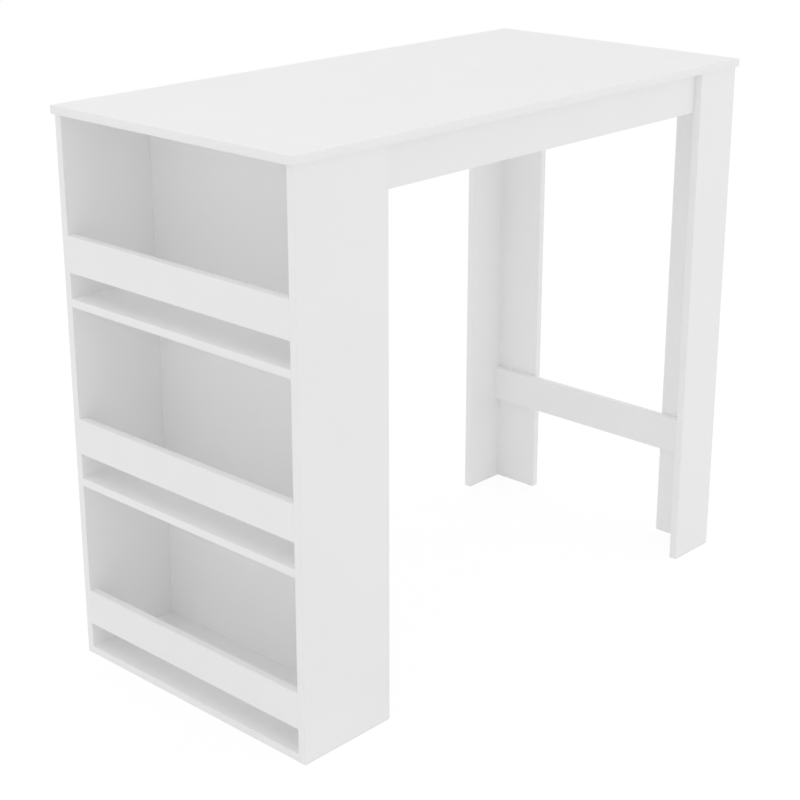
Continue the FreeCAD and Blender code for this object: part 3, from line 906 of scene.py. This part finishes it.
class BARTABLE_OT_dowels(bpy.types.Operator):
    """Set beech dowels with bevelled ends and grooves for the glue"""

    bl_idname = "bar_table.dowels"
    bl_label = "Set the dowels"

    profile = (
        (0, -15), (3.1, -15), (3.9, -13.8), *ridges(3.9, 0.18, -13.8, 13.8, 2.3),
        (3.1, 15), (0, 15),
    )

    def execute(self, context):
        settings = context.scene.bar_table.fittings
        tree = make_fitting_tree("Dowel")
        values = {"Sides": settings.small_sides, "Finish": make_beech("beech")}
        for dowels in DOWEL_NODES:
            places = places_of(dowels, Place.middle)
            name = "beech_" + dowels
            set_fittings(name, self.profile, places, tree, values, [dowels])
        return {"FINISHED"}


# Stage

WHITE = (1, 1, 1, 1)

# Where the lamps stand, and what they are aimed at
TOP_LAMP = (-1.8, -0.4, 4.0)
FRONT_LAMP = (2.2, -3.4, 1.5)
REAR_LAMP = (-0.3, 4.0, 1.3)
TABLE_MIDDLE = (0, 0, 0.5)

# Width in millimetres of the sensor that the lens is given for, and how far the camera sees
SENSOR = 36
VIEW_RANGE = 200


def add_seen_rays(tree):
    """1 for rays that show the surface to the camera, in a reflection or through something."""
    path = add(tree, "ShaderNodeLightPath").outputs
    shown = math_node(tree, "MAXIMUM", path["Is Camera Ray"], path["Is Glossy Ray"])
    return math_node(tree, "MAXIMUM", shown, path["Is Transmission Ray"])


def make_floor_finish(settings):
    """A plain floor that looks white, and keeps a share of the table's shadow."""
    material = bpy.data.materials.new("studio_floor")
    material.use_nodes = True
    tree = material.node_tree
    tree.nodes.clear()
    plain = add(tree, "ShaderNodeBsdfDiffuse", {"Color": (*settings.floor_tone, 1)})
    # Far from the table, where only the dome lights it, the floor comes out at exactly 1.
    lit = settings.shadow_share
    glow = add(tree, "ShaderNodeEmission", {"Color": WHITE, "Strength": 1 - lit * settings.dome})
    white = add(tree, "ShaderNodeBsdfDiffuse", {"Color": (lit, lit, lit, 1)})
    seen = add(tree, "ShaderNodeAddShader", {0: glow.outputs[0], 1: white.outputs[0]})
    both = add(tree, "ShaderNodeMixShader", {
        0: add_seen_rays(tree), 1: plain.outputs[0], 2: seen.outputs[0],
    })
    add(tree, "ShaderNodeOutputMaterial", {"Surface": both.outputs[0]})
    return material


def make_floor(settings):
    half = settings.floor_size / 2
    corners = [(-half, -half, 0), (half, -half, 0), (half, half, 0), (-half, half, 0)]
    mesh = bpy.data.meshes.new("studio_floor")
    mesh.from_pydata(corners, [], [(0, 1, 2, 3)])
    mesh.materials.append(make_floor_finish(settings))
    floor = new_object("studio_floor", mesh)


def make_dome(settings):
    """An even white dome. The camera sees it as plain white."""
    world = bpy.data.worlds.new("studio_dome")
    world.use_nodes = True
    bpy.context.scene.world = world
    tree = world.node_tree
    tree.nodes.clear()
    light = add(tree, "ShaderNodeBackground", {"Color": WHITE, "Strength": settings.dome})
    white = add(tree, "ShaderNodeBackground", {"Color": WHITE, "Strength": 1.0})
    both = add(tree, "ShaderNodeMixShader", {
        0: add_seen_rays(tree), 1: light.outputs[0], 2: white.outputs[0],
    })
    add(tree, "ShaderNodeOutputWorld", {"Surface": both.outputs[0]})


def make_lamp(name, watts, size, place):
    """A square lamp that is aimed at the middle of the table."""
    lamp = bpy.data.lights.new(name, "AREA")
    lamp.energy = watts
    lamp.shape = "SQUARE"
    lamp.size = size
    holder = new_object(name, lamp)
    holder.location = place
    aim = Vector(TABLE_MIDDLE) - Vector(place)
    holder.rotation_euler = aim.to_track_quat("-Z", "Y").to_euler()


def make_camera(settings):
    lens = bpy.data.cameras.new("camera")
    lens.lens = settings.lens
    lens.sensor_width = SENSOR
    lens.shift_y = settings.shift
    lens.clip_end = VIEW_RANGE
    camera = new_object("camera", lens)
    camera.location = settings.camera_place
    # Unturned, a camera looks straight down, with +Y at the top of its picture.
    quarter = math.pi / 2
    camera.rotation_euler = (quarter - settings.camera_tilt, 0, settings.camera_turn - quarter)
    bpy.context.scene.camera = camera


class BARTABLE_OT_stage(bpy.types.Operator):
    """Set up the floor, the soft light and the camera"""

    bl_idname = "bar_table.stage"
    bl_label = "Set the stage"

    def execute(self, context):
        settings = context.scene.bar_table.stage
        context.scene.view_settings.view_transform = "Standard"
        context.scene.cycles.diffuse_bounces = settings.bounces
        make_floor(settings)
        make_dome(settings)
        lamps = (
            ("top_lamp", settings.top_power, TOP_LAMP),
            ("front_lamp", settings.front_power, FRONT_LAMP),
            ("rear_lamp", settings.rear_power, REAR_LAMP),
        )
        for name, watts, place in lamps:
            make_lamp(name, watts, settings.lamp_size, place)
        make_camera(settings)
        return {"FINISHED"}


# Add-on


OPERATORS = (
    BARTABLE_OT_boards,
    BARTABLE_OT_edge_bands,
    BARTABLE_OT_cams,
    BARTABLE_OT_covers,
    BARTABLE_OT_screws,
    BARTABLE_OT_cam_bolts,
    BARTABLE_OT_dowels,
    BARTABLE_OT_stage,
)


class BARTABLE_PT_sidebar(bpy.types.Panel):
    """The steps of the bar table, in the order they run in"""

    bl_label = "Bar table"
    bl_idname = "BARTABLE_PT_sidebar"
    bl_space_type = "VIEW_3D"
    bl_region_type = "UI"
    bl_category = "Bar table"

    def draw(self, context):
        for operator in OPERATORS:
            self.layout.operator(operator.bl_idname)


GROUPS = (BoardSettings, BandSettings, FittingSettings, StageSettings, TableSettings)
CLASSES = (*GROUPS, *OPERATORS, BARTABLE_PT_sidebar)


def register():
    for kind in CLASSES:
        bpy.utils.register_class(kind)
    bpy.types.Scene.bar_table = PointerProperty(type=TableSettings)


def unregister():
    del bpy.types.Scene.bar_table
    for kind in reversed(CLASSES):
        bpy.utils.unregister_class(kind)


def plain(box):
    """A box as lists of numbers."""
    return [[round(number, 6) for number in corner] for corner in box]


def main():
    register()
    bpy.ops.bar_table.boards()
    bpy.ops.bar_table.edge_bands()
    bpy.ops.bar_table.cams()
    bpy.ops.bar_table.covers()
    bpy.ops.bar_table.screws()
    bpy.ops.bar_table.cam_bolts()
    bpy.ops.bar_table.dowels()
    bpy.ops.bar_table.stage()


if __name__ == "__main__":
    main()
